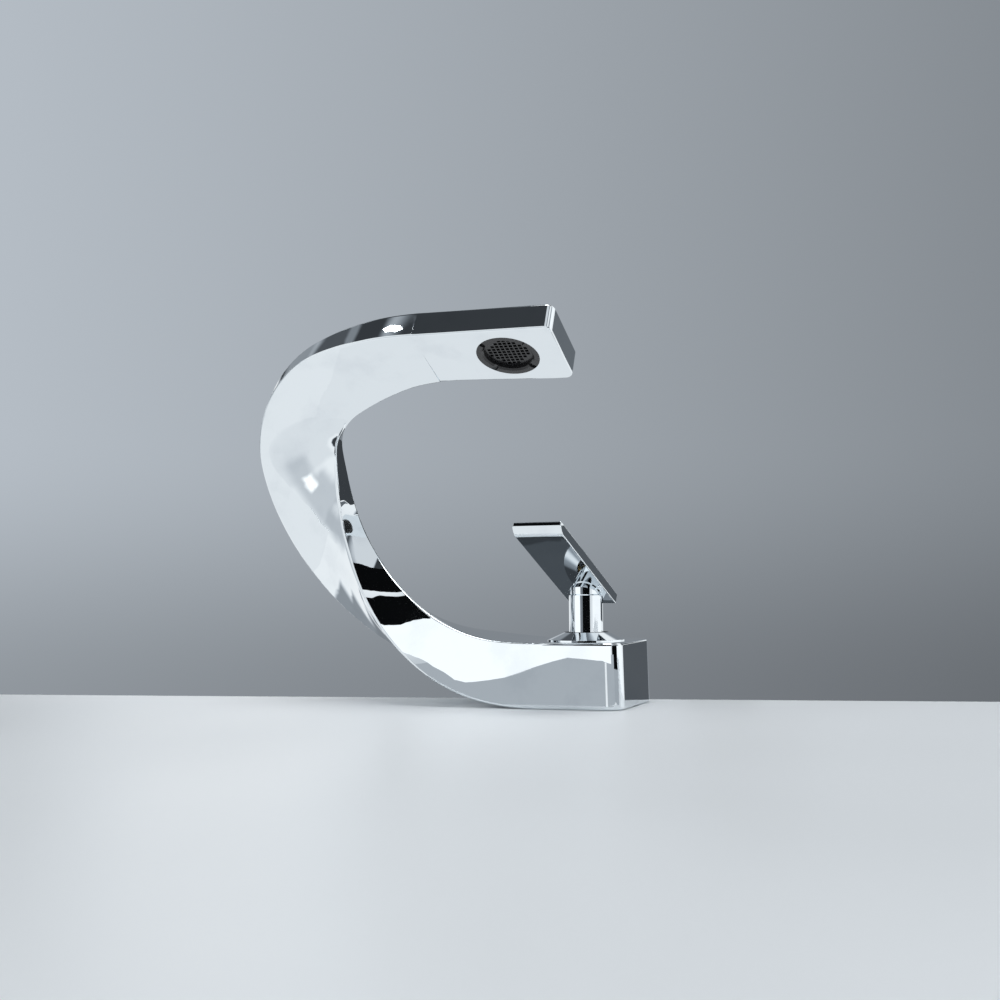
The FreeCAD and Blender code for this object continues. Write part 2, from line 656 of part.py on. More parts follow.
def spindle():
    """Lever of the cartridge: a ball below, the pivot in the middle, a square above."""
    ball = Part.makeSphere(BALL_RADIUS, Vector(0, 0, BALL_Z))
    neck_top = BALL_Z + BALL_NECK_LENGTH
    neck = cylinder(BALL_NECK_RADIUS, BALL_Z, neck_top)
    half = SPINDLE_THICKNESS / 2
    shank = block(SPINDLE_WIDTH, -half, half, neck_top, ROTOR_TOP)
    square = block(SPINDLE_SQUARE, -SPINDLE_SQUARE / 2, SPINDLE_SQUARE / 2, ROTOR_TOP, SPINDLE_TOP)
    solid = ball.fuse([neck, shank, square]).removeSplitter()
    return at_rest_heading(solid.cut(pin_solid(RUNNING_GAP, OVERRUN)))


def retaining_nut():
    """Brass ring nut that holds the cartridge down, with slots for its key."""
    solid = ring(HOUSING_NECK_RADIUS + CARTRIDGE_GAP, NUT_RADIUS, SHOULDER_Z, NUT_TOP)
    for index in range(NUT_SLOTS):
        slot = block(NUT_SLOT_WIDTH, -NUT_RADIUS - OVERRUN, -HOUSING_NECK_RADIUS + OVERRUN,
                     NUT_TOP - NUT_SLOT_DEPTH, NUT_TOP + OVERRUN)
        slot.rotate(ORIGIN, UP, 360 * index / NUT_SLOTS)
        solid = solid.cut(slot)
    return solid


def dome_cap():
    """Low cone over the cartridge, screwed into the chamber by its skirt."""
    swing = math.radians(LEVER_SWING)
    hole = (STEM_RADIUS + (DOME_TOP - PIVOT_Z) * math.sin(swing)) / math.cos(swing) + MOVING_GAP
    edge_z = BASE_HEIGHT + DOME_EDGE
    skirt_inner = NUT_RADIUS - SKIRT_WALL
    slope = DOME_RISE / (DOME_RADIUS - hole)
    inner_z = edge_z + (DOME_RADIUS - skirt_inner) * slope - DOME_WALL
    return turned_profile([
        (skirt_inner, SKIRT_Z),
        (NUT_RADIUS, SKIRT_Z),
        (NUT_RADIUS, BASE_HEIGHT),
        (DOME_RADIUS, BASE_HEIGHT),
        (DOME_RADIUS, edge_z),
        (hole, DOME_TOP),
        (hole, DOME_TOP - DOME_WALL),
        (skirt_inner, inner_z),
    ])


# Handle

def lever_placement():
    """Frame of the lever plate: origin on the stem's axis, +Z out of its underside into the plate."""
    return Placement(Vector(0, 0, LEVER_SEAT), Rotation(X_AXIS, -LEVER_RISE))


def above_plate():
    """Space over the underside of the lever plate, as a cutting tool."""
    size = LEVER_REACH + LEVER_TAIL
    tool = block(size, -size, size, 0, size)
    tool.Placement = lever_placement()
    return tool


def grub_tool(radius, start, end):
    """Cylinder through the back of the stem, between two distances from its axis."""
    return Part.makeCylinder(radius, end - start, Vector(0, start, GRUB_Z), Y_AXIS)


def handle_stem():
    """Sleeve that carries the lever plate and sits on the square of the spindle."""
    solid = cylinder(STEM_RADIUS, STEM_Z, STEM_TOP)
    ends = [edge for edge in solid.Edges if is_level(edge)]
    solid = solid.makeChamfer(STEM_EDGE, ends)
    square = SPINDLE_SQUARE + 2 * STATIC_GAP
    socket = block(square, -square / 2, square / 2, STEM_Z - OVERRUN, SPINDLE_TOP)
    peg_hole = cylinder(PEG_RADIUS + STATIC_GAP, PEG_HOLE_Z, STEM_TOP + OVERRUN)
    grub_hole = grub_tool(GRUB_RADIUS + STATIC_GAP, 0, STEM_RADIUS + OVERRUN)
    return at_rest_heading(solid.cut([socket, peg_hole, grub_hole, above_plate()]))


def plate_blank():
    """Flat bar of the lever, with the underside drawn up in an arc at its tip."""
    side = LEVER_WIDTH / 2
    nose = Vector(side, NOSE_RUN - LEVER_REACH, 0)
    radius = math.hypot(NOSE_RUN, NOSE_RISE) ** 2 / (2 * NOSE_RISE)
    half_turn = math.atan2(NOSE_RISE, NOSE_RUN)
    middle = nose - Y_AXIS * (radius * math.sin(half_turn)) + UP * (radius * (1 - math.cos(half_turn)))
    nose_end = Vector(side, -LEVER_REACH, NOSE_RISE)
    tip = Vector(side, -LEVER_REACH, LEVER_THICKNESS)
    tail = Vector(side, LEVER_TAIL, LEVER_THICKNESS)
    heel = Vector(side, LEVER_TAIL, 0)
    outline = Part.Wire([
        Part.Arc(nose, middle, nose_end).toShape(),
        Part.LineSegment(nose_end, tip).toShape(),
        Part.LineSegment(tip, tail).toShape(),
        Part.LineSegment(tail, heel).toShape(),
        Part.LineSegment(heel, nose).toShape(),
    ])
    solid = Part.Face(outline).extrude(X_AXIS * -LEVER_WIDTH)
    seam = nose - X_AXIS * side
    sharp = [edge for edge in solid.Edges if edge.CenterOfMass.distanceToPoint(seam) > LEVEL_TOLERANCE]
    return solid.makeFillet(LEVER_EDGE, sharp)


def lever_plate():
    """Flat lever with the neck and peg that join it to the stem."""
    plate = plate_blank()
    plate.Placement = lever_placement()
    neck_top = STEM_TOP + LEVER_THICKNESS + NECK_RADIUS
    neck = cylinder(NECK_RADIUS, STEM_TOP, neck_top).cut(above_plate())
    peg = cylinder(PEG_RADIUS, PEG_HOLE_Z + STATIC_GAP, neck_top).cut(above_plate())
    return at_rest_heading(plate.fuse([neck, peg]).removeSplitter())


def grub_screw():
    """Set screw with a hexagon socket, through the back of the stem onto the spindle."""
    screw = grub_tool(GRUB_RADIUS, GRUB_START, GRUB_END)
    corners = [Vector(x, GRUB_END + OVERRUN, GRUB_Z + z) for x, z in hexagon(GRUB_HEX)]
    key = Part.Face(Part.makePolygon(corners)).extrude(Y_AXIS * -(GRUB_HEX_DEPTH + OVERRUN))
    return at_rest_heading(screw.cut(key))


def screw_plug():
    """Small cap that closes the hole over the grub screw."""
    return at_rest_heading(grub_tool(GRUB_RADIUS, GRUB_END, STEM_RADIUS + PLUG_PROUD))


# Aerator, drawn with its mouth at height 0 and +Z into the spout

def in_spout(shape):
    shape.Placement = aerator_placement()
    return shape


def aerator_housing():
    """Threaded plastic sleeve with a flange, key notches and a ledge for the grille."""
    solid = turned_profile([
        (AERATOR_MOUTH_RADIUS, AERATOR_CHAMFER),
        (AERATOR_MOUTH_RADIUS + AERATOR_CHAMFER, 0),
        (AERATOR_FLANGE_RADIUS, 0),
        (AERATOR_FLANGE_RADIUS, AERATOR_FLANGE),
        (AERATOR_RADIUS, AERATOR_FLANGE),
        (AERATOR_RADIUS, AERATOR_HEIGHT),
        (AERATOR_BORE_RADIUS, AERATOR_HEIGHT),
        (AERATOR_BORE_RADIUS, AERATOR_LEDGE + GRILLE_THICKNESS),
        (AERATOR_MOUTH_RADIUS, AERATOR_LEDGE + GRILLE_THICKNESS),
    ])
    for index in range(AERATOR_KEYS):
        notch = block(AERATOR_KEY_WIDTH, AERATOR_BORE_RADIUS, AERATOR_FLANGE_RADIUS + OVERRUN,
                      -OVERRUN, AERATOR_KEY_DEPTH)
        notch.rotate(ORIGIN, UP, 360 * (index + 0.5) / AERATOR_KEYS)
        solid = solid.cut(notch)
    return in_spout(solid)


def aerator_grille():
    """Disc with square cells at the mouth of the aerator."""
    outer = AERATOR_MOUTH_RADIUS - STATIC_GAP
    solid = cylinder(outer, AERATOR_LEDGE, AERATOR_LEDGE + GRILLE_THICKNESS)
    cell = GRILLE_PITCH - GRILLE_BAR
    reach = outer - GRILLE_RIM
    count = int(reach / GRILLE_PITCH)
    cells = []
    for column in range(-count, count + 1):
        for row in range(-count, count + 1):
            x, y = column * GRILLE_PITCH, row * GRILLE_PITCH
            if math.hypot(abs(x) + cell / 2, abs(y) + cell / 2) > reach:
                continue
            cells.append(Part.makeBox(cell, cell, GRILLE_THICKNESS + 2 * OVERRUN,
                                      Vector(x - cell / 2, y - cell / 2, AERATOR_LEDGE - OVERRUN)))
    return in_spout(solid.cut(cells))


def flow_former():
    """Spoked insert behind the grille that breaks the flow up."""
    low = AERATOR_LEDGE + GRILLE_THICKNESS
    outer = AERATOR_BORE_RADIUS - STATIC_GAP
    solid = ring(outer - FORMER_RIM, outer, low, AERATOR_HEIGHT)
    solid = solid.fuse(cylinder(FORMER_HUB_RADIUS, low, AERATOR_HEIGHT))
    for index in range(FORMER_SPOKES):
        spoke = block(FORMER_SPOKE_WIDTH, FORMER_HUB_RADIUS / 2, outer - FORMER_RIM / 2,
                      low, AERATOR_HEIGHT)
        spoke.rotate(ORIGIN, UP, 360 * index / FORMER_SPOKES)
        solid = solid.fuse(spoke)
    return in_spout(solid.removeSplitter())


def aerator_seal():
    """Rubber washer between the aerator and the floor of its socket."""
    return in_spout(ring(AERATOR_BORE_RADIUS, AERATOR_RADIUS, AERATOR_HEIGHT, AERATOR_DEPTH))


# Fixing kit

def fixing_stud():
    solid = cylinder(STUD_RADIUS, STUD_TOP - STUD_LENGTH, STUD_TOP, 0, -STUD_FORWARD)
    ends = [edge for edge in solid.Edges if is_level(edge)]
    return solid.makeChamfer(STUD_CHAMFER, ends)


def horseshoe(low, high):
    """Round plate with a slot for the hoses, open to the back, and a hole for the stud."""
    solid = cylinder(SHOE_RADIUS, low, high)
    slot = block(SHOE_SLOT, -SHOE_SLOT_START, SHOE_RADIUS + OVERRUN, low - OVERRUN, high + OVERRUN)
    hole = cylinder(STUD_RADIUS + SHOE_HOLE_GAP, low - OVERRUN, high + OVERRUN, 0, -STUD_FORWARD)
    return solid.cut([slot, hole])


def horseshoe_rubber():
    return horseshoe(-DECK_THICKNESS - SHOE_RUBBER, -DECK_THICKNESS)


def horseshoe_plate():
    top = -DECK_THICKNESS - SHOE_RUBBER
    return horseshoe(top - SHOE_STEEL, top)


def fixing_nut():
    """Hexagon nut on the stud, drawn up against the steel plate."""
    top = -DECK_THICKNESS - SHOE_RUBBER - SHOE_STEEL
    radius = FIXING_NUT_FLATS / math.sqrt(3)
    corners = [Vector(x, y - STUD_FORWARD, top) for x, y in hexagon(radius)]
    solid = Part.Face(Part.makePolygon(corners)).extrude(UP * -FIXING_NUT_HEIGHT)
    hole = cylinder(STUD_RADIUS + STATIC_GAP, top - FIXING_NUT_HEIGHT - OVERRUN, top + OVERRUN,
                    0, -STUD_FORWARD)
    return solid.cut(hole)


NODES = {
    "tap_body": tap_body,
    "base_gasket": base_gasket,
    "dome_cap": dome_cap,
    "retaining_nut": retaining_nut,
    "cartridge_housing": cartridge_housing,
    "cartridge_base": cartridge_base,
    "port_seals": port_seals,
    "fixed_disc": fixed_disc,
    "moving_disc": moving_disc,
    "disc_carriage": disc_carriage,
    "rotor": rotor,
    "pivot_pin": pivot_pin,
    "spindle": spindle,
    "handle_stem": handle_stem,
    "lever_plate": lever_plate,
    "grub_screw": grub_screw,
    "screw_plug": screw_plug,
    "aerator_housing": aerator_housing,
    "aerator_grille": aerator_grille,
    "flow_former": flow_former,
    "aerator_seal": aerator_seal,
    "fixing_stud": fixing_stud,
    "horseshoe_rubber": horseshoe_rubber,
    "horseshoe_plate": horseshoe_plate,
    "fixing_nut": fixing_nut,
}

os.makedirs("parts", exist_ok=True)
for name, make in NODES.items():
    shape = make()
    state = "valid" if shape.isValid() else "NOT VALID"
    print(name, state, len(shape.Solids), "solid(s)", round(shape.Volume, 1))
    shape.exportStep(f"parts/{name}.step")
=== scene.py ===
"""Looks of a basin mixer tap: its finishes, the thread of its stud, the plug in its stem, and the studio."""
import json
import math

import bmesh
import bpy
from mathutils import Matrix, Vector


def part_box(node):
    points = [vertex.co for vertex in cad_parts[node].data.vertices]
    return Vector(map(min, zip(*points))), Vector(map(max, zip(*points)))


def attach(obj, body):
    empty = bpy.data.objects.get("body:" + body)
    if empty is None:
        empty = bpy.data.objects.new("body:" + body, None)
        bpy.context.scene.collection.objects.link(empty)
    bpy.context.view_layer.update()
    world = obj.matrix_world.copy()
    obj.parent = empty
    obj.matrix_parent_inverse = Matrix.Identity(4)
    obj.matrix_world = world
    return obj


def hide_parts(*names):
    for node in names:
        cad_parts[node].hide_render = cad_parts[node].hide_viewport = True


MM = 0.001

# Camera, from the photograph's viewing angle
CAMERA_LENS = 55.96
CAMERA_SENSOR = 36.0
CAMERA_YAW = math.radians(19.644)
CAMERA_PITCH = math.radians(2.661)
CAMERA_ROLL = math.radians(-0.5115)
CAMERA_DISTANCE = 618.5 * MM
CAMERA_HEIGHT = 51.67 * MM
CAMERA_ACROSS = 2.63 * MM
CAMERA_AIM_X = -37.93 * MM
CAMERA_NEAR = 10 * MM

# Deck that the tap stands on
DECK_HALF_WIDTH = 1000 * MM
DECK_FRONT = 435 * MM
DECK_BACK = 31 * MM
DECK_TURN = math.radians(8.3)
DECK_EDGE = 2.5 * MM
DECK_EDGE_STEPS = 4
DECK_HOLE_GAP = 0.3 * MM
DECK_HOLE_STEPS = 24
CIRCLE_POINTS = 4
CIRCLE_HANDLE_SHARE = 0.5523

# Thread of the fixing stud
THREAD_PITCH = 1.25 * MM
THREAD_DEPTH = 0.65 * MM
THREAD_RUN_OUT = 1.2 * MM
THREAD_STEPS = 6          # rings of points in each turn
THREAD_SIDES = 40

# Plug in the back of the stem
PLUG_DEPTH = 0.8 * MM
PLUG_RIM = 0.1 * MM
PLUG_FACE_SHARES = (0.95, 0.8, 0.55, 0.3)
PLUG_SIDES = 32
SHARP_EDGE = math.radians(30)

# Soft light all round, as panels seen from the tap, each laid over those before it.
# In degrees: its heading from the front, to the right, and half its width, its height and half its depth,
# and the softness of its rim. Its brightness comes last.
ROOM_TINT = (0.96, 0.99, 1.01)
SHADE_TINT = (0.88, 0.99, 1.12)
ROOM_LEVEL = 0.95
PANELS = {
    "dark ceiling": (0, 180, 90, 41, 1.5, 0.045),
    "overhead box": (0, 180, 90, 17, 4, 5.5),
    "wall behind": (-172, 16, 12, 18, 4, 0.25),
    "wall behind on the left": (-136, 20, 27, 12, 4, 0.30),
    "low wall on the left": (-121, 9, -27, 7, 2, 0.31),
    "low wall behind on the left": (-136, 10, -23, 8, 2, 0.30),
    "low wall far behind on the left": (-152, 10, -17, 8, 2, 0.24),
    "box on the right": (97, 42, 8, 25, 4, 1.1),
    "dark wall behind on the left": (-131, 14, 9, 8, 3, 0.05),
    "pale grey in front": (15, 45, 14, 28, 4, 0.82),
    "grey in front": (-42, 31, 4, 9, 5, 0.63),
    "grey in front on the left": (-56, 22, 12, 11, 5, 0.63),
    "grey on the left": (-92, 20, 2, 6, 4, 0.54),
    "white spot in front": (-37, 7, 7, 4, 2.5, 1.4),
    "dark strip in front": (-46, 9, 48, 6, 1, 0.004),
    "dark above on the left": (-107, 16, 47, 8, 4, 0.09),
    "grey above on the left": (-89, 4, 53, 6, 2, 0.24),
    "grey above behind": (-150, 22, 48, 14, 3, 0.085),
    "pale above on the right": (54, 36, 62, 10, 2, 0.72),
    "dark wall on the right": (78, 24, 24, 14, 4, 0.12),
    "dark wall on the left": (-90, 16, 26, 11, 4, 0.12),
    "glow": (-58, 4, 56, 4, 4, 0.40),
}

# Cards close to the tap, in millimetres and degrees, which only reflections see, and only on one side.
# Each has its origin, the heading of its lower edge, how far it leans back, its brightness, and its outline
# as distances along the edge and up the card. One that ends in True shows its top.
DECK_CARD_HEADING = math.degrees(DECK_TURN)
CARDS = {
    "flag by the bend below": ((0, -32, 54), 0, 25, 0.003, (
        (-85, -0.5), (-81, -0.5), (-79.5, 1.5), (-74.5, 2), (-72, -6), (-69, -12), (-69, -14), (-71, -13),
        (-73, -13), (-75, -15), (-78, -15), (-80, -13), (-85, -13))),
    "flag by the bend above": ((0, -32, 54), 0, 25, 0.003, (
        (-86, 17.5), (-82, 19), (-79, 20.5), (-75, 20), (-75, 4.5), (-79, 4), (-82, 3.5), (-86, 3.5))),
    "flag behind the bend": ((0, 40, 0), 0, 0, 0.05, (
        (-112, 98), (-35, 98), (-35, 150), (-112, 150))),
    "grey card behind the spout": ((0, 60, 0), 0, 0, 0.15, (
        (-4, 138), (20, 138), (20, 172), (-4, 172))),
    "grey card behind the lever": ((0, 60, 0), 0, 0, 0.10, (
        (30, 30), (76, 30), (76, 72), (30, 72))),
    "grey card behind the base": ((0, 60, 0), 0, 0, 0.10, (
        (26, -8), (55, -8), (55, 26), (26, 26))),
    "flag before the stem": ((0, -41, 0), 0, 0, 0.003, (
        (-3.5, 24.5), (36.5, 24.5), (36.5, 50), (-3.5, 50))),
    "grey card before the stem": ((0, -41, 0), 0, 0, 0.22, (
        (-15.5, 24.5), (-3.5, 24.5), (-3.5, 50), (-15.5, 50))),
    "white card before the base": ((0, -42, 0), 0, 0, 1.15, (
        (-83, 50), (-80, 42), (-77.5, 35), (-76, 29.5), (-72, 25.5), (-67, 21.5), (-63, 17.5), (-58.5, 14),
        (-54.5, 10.5), (-50, 9), (-46, 9), (-40, 9.5), (-33, 10.5), (-26, 12.5), (-18.5, 15), (-12, 17),
        (-6, 18.5), (1, 18), (6, 17.5), (16.5, 17), (31.5, 16.5), (31.5, 50))),
    "white strip before the base": ((0, -42, 0), 0, 0, 0.95, (
        (13, 0), (16.5, 0), (16.5, 17), (13, 17))),
    "grey card before the base": ((0, -43, 0), 0, 0, 0.46, (
        (-78, 0), (50, 0), (50, 20), (-78, 20))),
    "flag on the right": ((60, 0, 0), 90, 0, 0.003, (
        (-62, 14), (-24, 14), (-24, 24), (-62, 24))),
    "grey card on the right": ((60.5, 0, 0), 90, 0, 0.42, (
        (-66, 0), (-21, 0), (-21, 15), (-66, 15))),
    "white card on the deck": ((0, 0, 0.5), DECK_CARD_HEADING, 90, 0.88, (
        (-900, -437), (120, -437), (120, -45), (-75, -45), (-75, -5), (-130, -5), (-130, 31),
        (-900, 31)), True),
    "white card under the spout": ((0, 0, 112), 0, 90, 0.84, (
        (-106, -40), (15, -40), (15, 60), (-40, 120), (-106, 120)), True),
    "lamp": ((-93, -27, 182), -23, 0, 12.0, (
        (-6, 0), (-3, -2.5), (3, -2.5), (6, 0), (3, 2.5), (-3, 2.5))),
}

# Backdrop behind the tap, with painted light and shade: lighter to the left, and a painted shade along its
# foot
BACKDROP_TINT = (0.91, 1.0, 1.10)
BACKDROP_LEVEL = 0.385
BACKDROP_PAINTED_LIGHT_SLOPE = 0.40
BACKDROP_LEAST = 0.25
BACKDROP_PAINTED_FOOT_SHADE = 0.6
BACKDROP_PAINTED_FOOT_HEIGHT = 5
HALF_TURN = 180

# Patterns of the materials. Each noise has the size of its cells and its levels of detail.
NOISE_RANGE = (0.3, 0.7)
WAVE_PERIOD = math.pi / 10  # spacing of the wave texture's rings at a scale of 1

# Bright plating
CHROME_COLOUR = (0.86, 0.90, 0.925, 1)
CHROME_FILM_COLOUR = (0.80, 0.84, 0.87, 1)
CHROME_FILM = (14 * MM, 4)
CHROME_FILM_RANGE = (0.45, 0.75)
CHROME_ROUGHNESS = (0.022, 0.055)
CHROME_SPECK = (0.9 * MM, 2)
CHROME_SPECK_ROUGHNESS = (-0.006, 0.006)
CHROME_WAVE = (22 * MM, 1)
CHROME_WAVE_DEPTH = 0.012 * MM

# Turned brass
BRASS_COLOUR = (0.72, 0.52, 0.24, 1)
BRASS_TARNISH = (0.52, 0.35, 0.15, 1)
BRASS_STAIN = (5 * MM, 5)
BRASS_STAIN_RANGE = (0.45, 0.75)
BRASS_ROUGHNESS = (0.22, 0.42)
BRASS_RING_PITCH = 2.23 * MM
BRASS_RING_DEPTH = 0.012 * MM
BRASS_RING_WANDER = 0.6
BRASS_RING_DETAIL = 1.0

# Zinc plated steel
STEEL_COLOUR = (0.62, 0.64, 0.66, 1)
STEEL_DULL = (0.46, 0.48, 0.50, 1)
STEEL_SPANGLE_CELL = 1.6 * MM
STEEL_ROUGHNESS = (0.24, 0.40)
STEEL_GRAIN = (0.25 * MM, 3)
STEEL_GRAIN_DEPTH = 0.006 * MM

# Black rubber
RUBBER_COLOUR = (0.022, 0.022, 0.023, 1)
RUBBER_BLOOM_COLOUR = (0.05, 0.05, 0.052, 1)
RUBBER_BLOOM = (4 * MM, 4)
RUBBER_BLOOM_RANGE = (0.4, 0.8)
RUBBER_ROUGHNESS = (0.55, 0.8)
RUBBER_GRAIN = (0.2 * MM, 2)
RUBBER_GRAIN_DEPTH = 0.02 * MM

# Moulded plastics, each with two shades
GREY_PLASTIC = ((0.50, 0.52, 0.55, 1), (0.44, 0.46, 0.49, 1))
GREY_PLASTIC_ROUGHNESS = (0.32, 0.48)
BLACK_PLASTIC = ((0.006, 0.006, 0.007, 1), (0.012, 0.012, 0.013, 1))
BLACK_PLASTIC_ROUGHNESS = (0.14, 0.24)
PLASTIC_FLOW = (6 * MM, 3)
PLASTIC_GRAIN = (0.12 * MM, 2)
PLASTIC_GRAIN_DEPTH = 0.008 * MM

# Lapped alumina
CERAMIC_COLOUR = (0.88, 0.86, 0.81, 1)
CERAMIC_GRAIN_COLOUR = (0.80, 0.78, 0.73, 1)
CERAMIC_GRAIN = (0.4 * MM, 4)
CERAMIC_LAP = (3 * MM, 2)
CERAMIC_ROUGHNESS = (0.15, 0.28)

# Glaze of the deck
DECK_COLOUR = (0.86, 0.88, 0.895, 1)
DECK_SHADE = (0.83, 0.85, 0.87, 1)
DECK_PATCH = (160 * MM, 2)
DECK_ROUGHNESS = (0.30, 0.40)


def add(tree, kind, inputs=None, **settings):
    """A node with its settings, and its inputs set to values or linked to other sockets."""
    made = tree.nodes.new(kind)
    for name, value in settings.items():
        setattr(made, name, value)
    for name, value in (inputs or {}).items():
        if isinstance(value, bpy.types.NodeSocket):
            tree.links.new(value, made.inputs[name])
        else:
            made.inputs[name].default_value = value
    return made


def math_node(tree, operation, *values):
    """The result of a Math node."""
    return add(tree, "ShaderNodeMath", dict(enumerate(values)), operation=operation).outputs[0]


def remap(tree, value, old, new, easing="LINEAR"):
    """A value carried from one range to another."""
    made = add(tree, "ShaderNodeMapRange",
               {"Value": value, "From Min": old[0], "From Max": old[1], "To Min": new[0], "To Max": new[1]},
               interpolation_type=easing)
    return made.outputs["Result"]


def ease(tree, value, old, new):
    """A value carried from one range to another, with soft ends."""
    return remap(tree, value, old, new, "SMOOTHSTEP")


def mix_values(tree, share, first, second):
    """Goes from the first value to the second."""
    return add(tree, "ShaderNodeMix", {0: share, 2: first, 3: second}).outputs[0]


def mix_colours(tree, share, first, second):
    """Goes from the first colour to the second."""
    return add(tree, "ShaderNodeMix", {0: share, 6: first, 7: second}, data_type="RGBA").outputs[2]


def scale(tree, vector, factor):
    """A vector or colour times a factor."""
    return add(tree, "ShaderNodeVectorMath", {0: vector, "Scale": factor}, operation="SCALE").outputs[0]


def noise(tree, place, cell, detail):
    """Noise with cells of the given size."""
    made = add(tree, "ShaderNodeTexNoise", {"Vector": place, "Scale": 1 / cell, "Detail": detail})
    return made.outputs["Fac"]


def bump(tree, height, depth):
    """A normal bent by a height pattern of the given depth."""
    return add(tree, "ShaderNodeBump", {"Height": height, "Distance": depth, "Strength": 1.0}).outputs[0]


def panel_share(tree, heading, height, panel):
    """1 inside a panel of the soft light and 0 outside it."""
    middle, half_width, middle_height, half_height, rim = panel
    off = math_node(tree, "SUBTRACT", height, middle_height)
    off = math_node(tree, "ABSOLUTE", off)
    share = ease(tree, off, (half_height - rim, half_height + rim), (1, 0))
    if half_width < HALF_TURN:
        across = math_node(tree, "SUBTRACT", heading, middle)
        across = math_node(tree, "WRAP", across, HALF_TURN, -HALF_TURN)
        across = math_node(tree, "ABSOLUTE", across)
        across = ease(tree, across, (half_width - rim, half_width + rim), (1, 0))
        share = math_node(tree, "MULTIPLY", share, across)
    return share


def make_world():
    """The panels of soft light, and a backdrop for the camera with painted light and shade: lighter to the
    left, darker at its foot.
    """
    world = bpy.data.worlds.new("studio")
    bpy.context.scene.world = world
    world.use_nodes = True
    tree = world.node_tree
    tree.nodes.clear()
    ray = add(tree, "ShaderNodeTexCoord").outputs["Generated"]
    split = add(tree, "ShaderNodeSeparateXYZ", {0: ray})
    right, back, up = split.outputs
    front = math_node(tree, "MULTIPLY", back, -1)
    heading = math_node(tree, "DEGREES", math_node(tree, "ARCTAN2", right, front))
    height = math_node(tree, "DEGREES", math_node(tree, "ARCSINE", up))
    level = ROOM_LEVEL
    for *panel, panel_level in PANELS.values():
        level = mix_values(tree, panel_share(tree, heading, height, panel), level, panel_level)
    paleness = remap(tree, level, (0, ROOM_LEVEL), (0, 1))
    tint = mix_colours(tree, paleness, (*SHADE_TINT, 1), (*ROOM_TINT, 1))

    # Painted light on the backdrop: it grows lighter towards the left.
    left_side = (-math.cos(CAMERA_YAW), -math.sin(CAMERA_YAW), 0)
    painted_light_leftward = add(tree, "ShaderNodeVectorMath", {0: ray, 1: left_side},
                   operation="DOT_PRODUCT").outputs["Value"]
    backdrop = math_node(tree, "MULTIPLY_ADD", painted_light_leftward, BACKDROP_PAINTED_LIGHT_SLOPE, BACKDROP_LEVEL)
    backdrop = math_node(tree, "MAXIMUM", backdrop, BACKDROP_LEAST)
    # Painted shade at the backdrop's foot: darker from a little above the horizon downwards.
    foot = ease(tree, height, (-BACKDROP_PAINTED_FOOT_HEIGHT, BACKDROP_PAINTED_FOOT_HEIGHT), (BACKDROP_PAINTED_FOOT_SHADE, 1))
    backdrop = math_node(tree, "MULTIPLY", backdrop, foot)

    seen = add(tree, "ShaderNodeLightPath").outputs["Is Camera Ray"]
    colour = mix_colours(tree, seen, scale(tree, tint, level), scale(tree, BACKDROP_TINT, backdrop))
    shine = add(tree, "ShaderNodeBackground", {"Color": colour})
    add(tree, "ShaderNodeOutputWorld", {"Surface": shine.outputs[0]})


def make_camera():
    """The photograph's camera."""
    across = Vector((math.cos(CAMERA_YAW), math.sin(CAMERA_YAW), 0))
    ahead = Vector((-math.sin(CAMERA_YAW), math.cos(CAMERA_YAW), 0))
    upright = Vector((0, 0, 1))
    place = across * CAMERA_ACROSS - ahead * CAMERA_DISTANCE + upright * CAMERA_HEIGHT
    place.x += CAMERA_AIM_X
    look = ahead * math.cos(CAMERA_PITCH) + upright * math.sin(CAMERA_PITCH)
    top = upright * math.cos(CAMERA_PITCH) - ahead * math.sin(CAMERA_PITCH)
    side = across * math.cos(CAMERA_ROLL) + top * math.sin(CAMERA_ROLL)
    top = top * math.cos(CAMERA_ROLL) - across * math.sin(CAMERA_ROLL)
    camera = bpy.data.objects.new("camera", bpy.data.cameras.new("camera"))
    bpy.context.scene.collection.objects.link(camera)
    turn = Matrix((side, top, -look)).transposed()
    camera.matrix_world = Matrix.Translation(place) @ turn.to_4x4()
    camera.data.sensor_width = CAMERA_SENSOR
    camera.data.lens = CAMERA_LENS
    camera.data.clip_start = CAMERA_NEAR
    bpy.context.scene.camera = camera


def new_material(name):
    """An empty material with its node tree, its shader and a place to read patterns from."""
    material = bpy.data.materials.new(name)
    material.use_nodes = True
    tree = material.node_tree
    tree.nodes.clear()
    shader = tree.nodes.new("ShaderNodeBsdfPrincipled")
    add(tree, "ShaderNodeOutputMaterial", {"Surface": shader.outputs[0]})
    place = add(tree, "ShaderNodeTexCoord").outputs["Object"]
    return material, tree, shader, place


def link(tree, socket, target):
    """Links an output to an input."""
    tree.links.new(socket, target)


def chrome(name):
    """Bright plating on a cast and polished body: near mirror, with faint waves and wiped film."""
    material, tree, shader, place = new_material(name)
    film = ease(tree, noise(tree, place, *CHROME_FILM), CHROME_FILM_RANGE, (0, 1))
    speck = noise(tree, place, *CHROME_SPECK)
    link(tree, mix_colours(tree, film, CHROME_COLOUR, CHROME_FILM_COLOUR), shader.inputs["Base Color"])
    rough = remap(tree, film, (0, 1), CHROME_ROUGHNESS)
    grain = remap(tree, speck, NOISE_RANGE, CHROME_SPECK_ROUGHNESS)
    link(tree, math_node(tree, "ADD", rough, grain), shader.inputs["Roughness"])
    wave = noise(tree, place, *CHROME_WAVE)
    link(tree, bump(tree, wave, CHROME_WAVE_DEPTH), shader.inputs["Normal"])
    shader.inputs["Metallic"].default_value = 1
    return material


